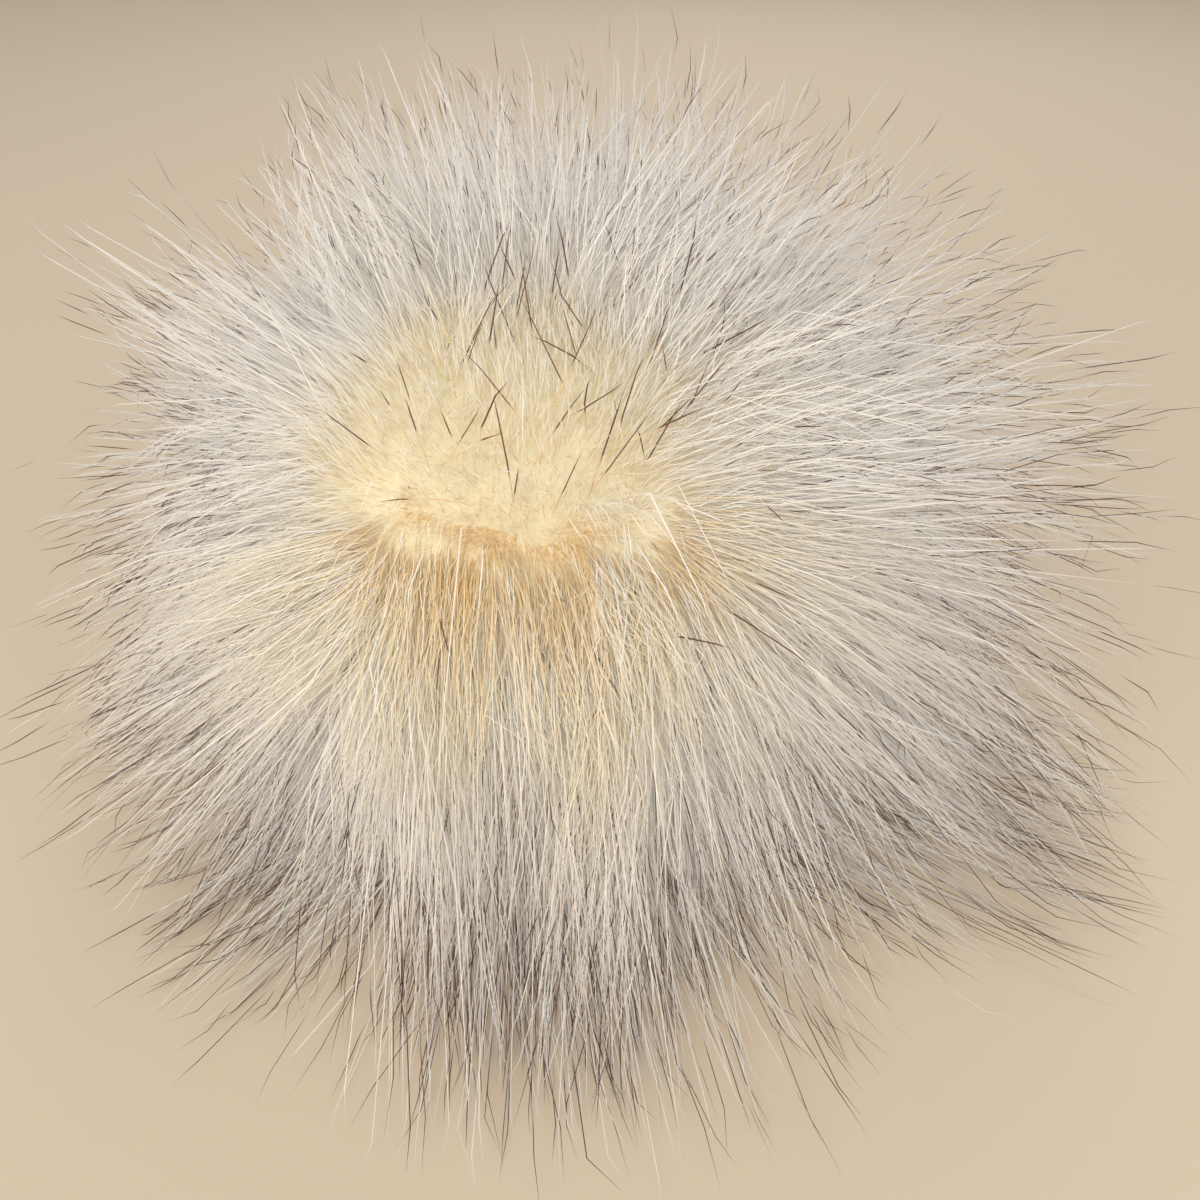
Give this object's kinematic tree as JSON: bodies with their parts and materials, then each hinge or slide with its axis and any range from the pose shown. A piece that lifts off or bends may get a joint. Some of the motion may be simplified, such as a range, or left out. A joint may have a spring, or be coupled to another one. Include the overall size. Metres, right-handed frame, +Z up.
{
  "type": "faux fur pom pom",
  "caption": "Round pom pom of long-pile faux fur, cream at the heart with dark tips, lying on its flattened underside with the lower pile splayed out.",
  "frame": {"origin": "on the resting surface, under the middle of the whole pile's box", "axes": "+Z up, -Y towards the side that faces the viewer, +X along the longer pile"},
  "size_m": [0.176, 0.182, 0.112],
  "materials": {
    "cream_fur": "long silky pile, warm cream at the root, ivory along the length, mauve-brown at the tip"
  },
  "bodies": {
    "root": {"fur_ball": "cream_fur"}
  },
  "joints": []
}
